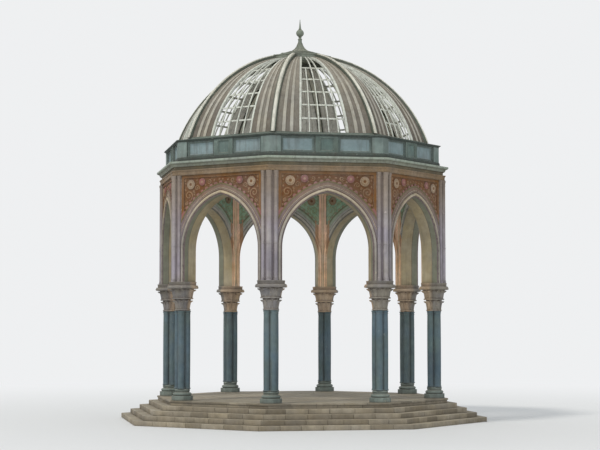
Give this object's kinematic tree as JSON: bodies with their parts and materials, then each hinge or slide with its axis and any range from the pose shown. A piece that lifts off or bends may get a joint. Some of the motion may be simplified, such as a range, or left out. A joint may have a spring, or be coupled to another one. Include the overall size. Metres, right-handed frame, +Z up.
{
  "type": "octagonal bandstand",
  "caption": "Open octagonal bandstand: stepped base, clustered columns, pointed arches, panelled attic and an openwork ribbed dome.",
  "frame": {"origin": "on the ground at the middle of the octagonal base", "axes": "+Z up; the middles of four bays face along X and Y, with -Y the front bay"},
  "size_m": [11.495, 11.495, 13.4669],
  "materials": {
    "step_stone": "worn dressed limestone, a little dusty",
    "floor_stone": "smoother dressed limestone flags",
    "base_stone": "grey-green painted stone",
    "column_paint": "blue-grey limewash on stone",
    "capital_paint": "beige-brown limewash, darker in the hollows",
    "pier_paint": "lilac-grey limewash outside, orange inside",
    "arch_paint": "terracotta limewash with lilac and cream bands",
    "fillet_paint": "light orange-beige limewash",
    "cornice_paint": "pale green-grey limewash",
    "attic_paint": "blue-grey panels in green-grey frames",
    "curb_paint": "green-grey limewash",
    "rib_paint": "cream paint, weathered",
    "board_wood": "cream to brown paint, worn along the boards",
    "lattice_paint": "pale paint, weathered",
    "crown_zinc": "dull painted sheet metal",
    "finial_zinc": "dull painted sheet metal"
  },
  "bodies": {
    "root": {"step_1": "step_stone", "step_2": "step_stone", "step_3": "step_stone", "step_4": "step_stone", "floor_slab": "floor_stone", "column_bases": "base_stone", "column_1": "column_paint", "column_2": "column_paint", "column_3": "column_paint", "column_4": "column_paint", "column_5": "column_paint", "column_6": "column_paint", "column_7": "column_paint", "column_8": "column_paint", "capital_1": "capital_paint", "capital_2": "capital_paint", "capital_3": "capital_paint", "capital_4": "capital_paint", "capital_5": "capital_paint", "capital_6": "capital_paint", "capital_7": "capital_paint", "capital_8": "capital_paint", "pier_1": "pier_paint", "pier_2": "pier_paint", "pier_3": "pier_paint", "pier_4": "pier_paint", "pier_5": "pier_paint", "pier_6": "pier_paint", "pier_7": "pier_paint", "pier_8": "pier_paint", "arch_panel_1": "arch_paint", "arch_panel_2": "arch_paint", "arch_panel_3": "arch_paint", "arch_panel_4": "arch_paint", "arch_panel_5": "arch_paint", "arch_panel_6": "arch_paint", "arch_panel_7": "arch_paint", "arch_panel_8": "arch_paint", "architrave": "fillet_paint", "cornice": "cornice_paint", "attic": "attic_paint", "dome_curb": "curb_paint", "dome_ribs": "rib_paint", "dome_boards": "board_wood", "dome_rails": "lattice_paint", "dome_bars": "lattice_paint", "dome_rings": "lattice_paint", "crown": "crown_zinc", "finial": "finial_zinc"}
  },
  "joints": []
}
